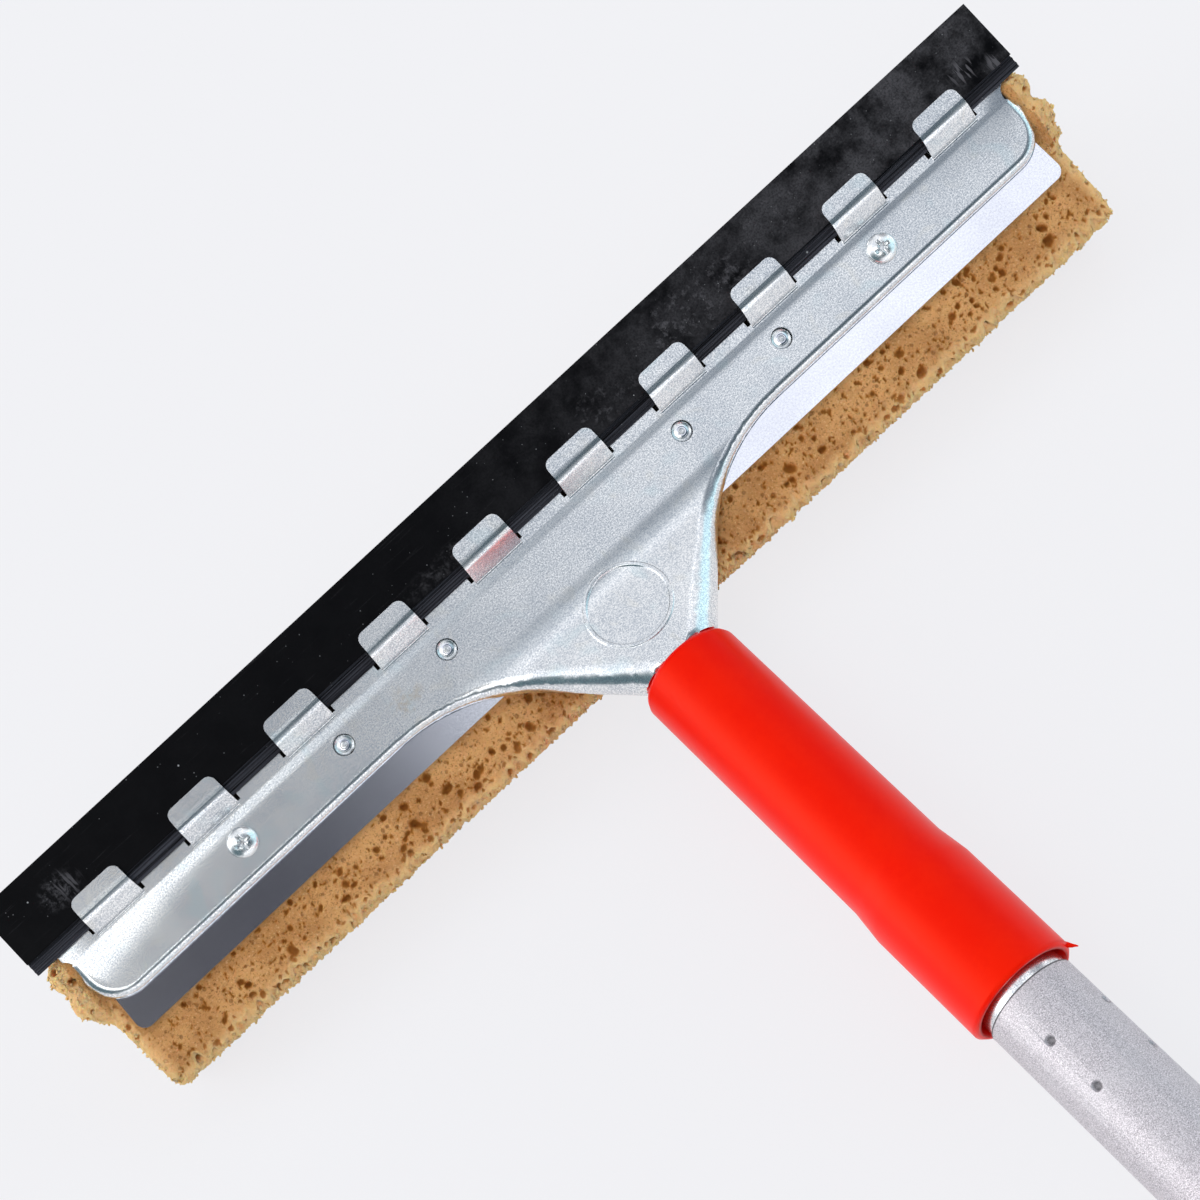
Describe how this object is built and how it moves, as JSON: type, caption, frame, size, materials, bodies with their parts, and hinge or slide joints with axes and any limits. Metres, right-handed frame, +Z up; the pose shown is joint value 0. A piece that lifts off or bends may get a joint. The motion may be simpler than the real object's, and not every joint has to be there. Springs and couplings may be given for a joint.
{
  "type": "window scrubber",
  "caption": "Window scrubber: pressed metal head with a rubber blade and a sponge, bent neck with a soft sleeve, on a telescopic pole with a twist lock and a hanging eye.",
  "frame": {"origin": "on the floor, under the middle of the bounding box, with the tool lying on the sponge's rear edge and the end cap", "axes": "+X along the blade, towards the left of a person holding the pole; +Y along the pole, from the head to the hanging eye; +Z up"},
  "size_m": [0.3014, 0.7576, 0.0549],
  "materials": {
    "zinc_sheet": "zinc-plated sheet, satin, with a fine mottled grain and faint tints",
    "blade_rubber": "near-black rubber, matt, dusty and scuffed",
    "clamp_sheet": "plain sheet, satin",
    "sponge_foam": "open-pored foam, matt tan with darker pores",
    "screw_steel": "zinc-plated, satin",
    "red_sleeve": "soft red plastic, slightly shiny",
    "silver_paint": "silver paint with fine dark and light specks",
    "tube_paint": "silver paint with fine specks",
    "bush_plastic": "plain moulded",
    "collet_plastic": "plain moulded",
    "collar_plastic": "moulded, fluted grip",
    "cap_plastic": "moulded"
  },
  "bodies": {
    "lower_pole": {"lower_tube": "tube_paint", "collet": "collet_plastic", "end_cap": "cap_plastic"},
    "head": {"head_plate": "zinc_sheet", "rubber_blade": "blade_rubber", "clamp_plate": "clamp_sheet", "sponge": "sponge_foam", "screw_left": "screw_steel", "screw_right": "screw_steel", "nut_left": "screw_steel", "nut_right": "screw_steel", "stem_sleeve": "red_sleeve", "upper_pole": "silver_paint", "guide_bush": "bush_plastic"},
    "lock_collar": {"lock_collar": "collar_plastic"}
  },
  "joints": [
    {"name": "pole_extend", "type": "slide", "parent": "lower_pole", "child": "head", "axis": [0, -0.9999, 0.0122], "range_m": [0, 0.36]},
    {"name": "collar_turn", "type": "hinge", "parent": "lower_pole", "child": "lock_collar", "pos_m": [0, -0.12821, 0.01985], "axis": [0, 0.9999, -0.0122], "range_deg": [0, 120]}
  ]
}
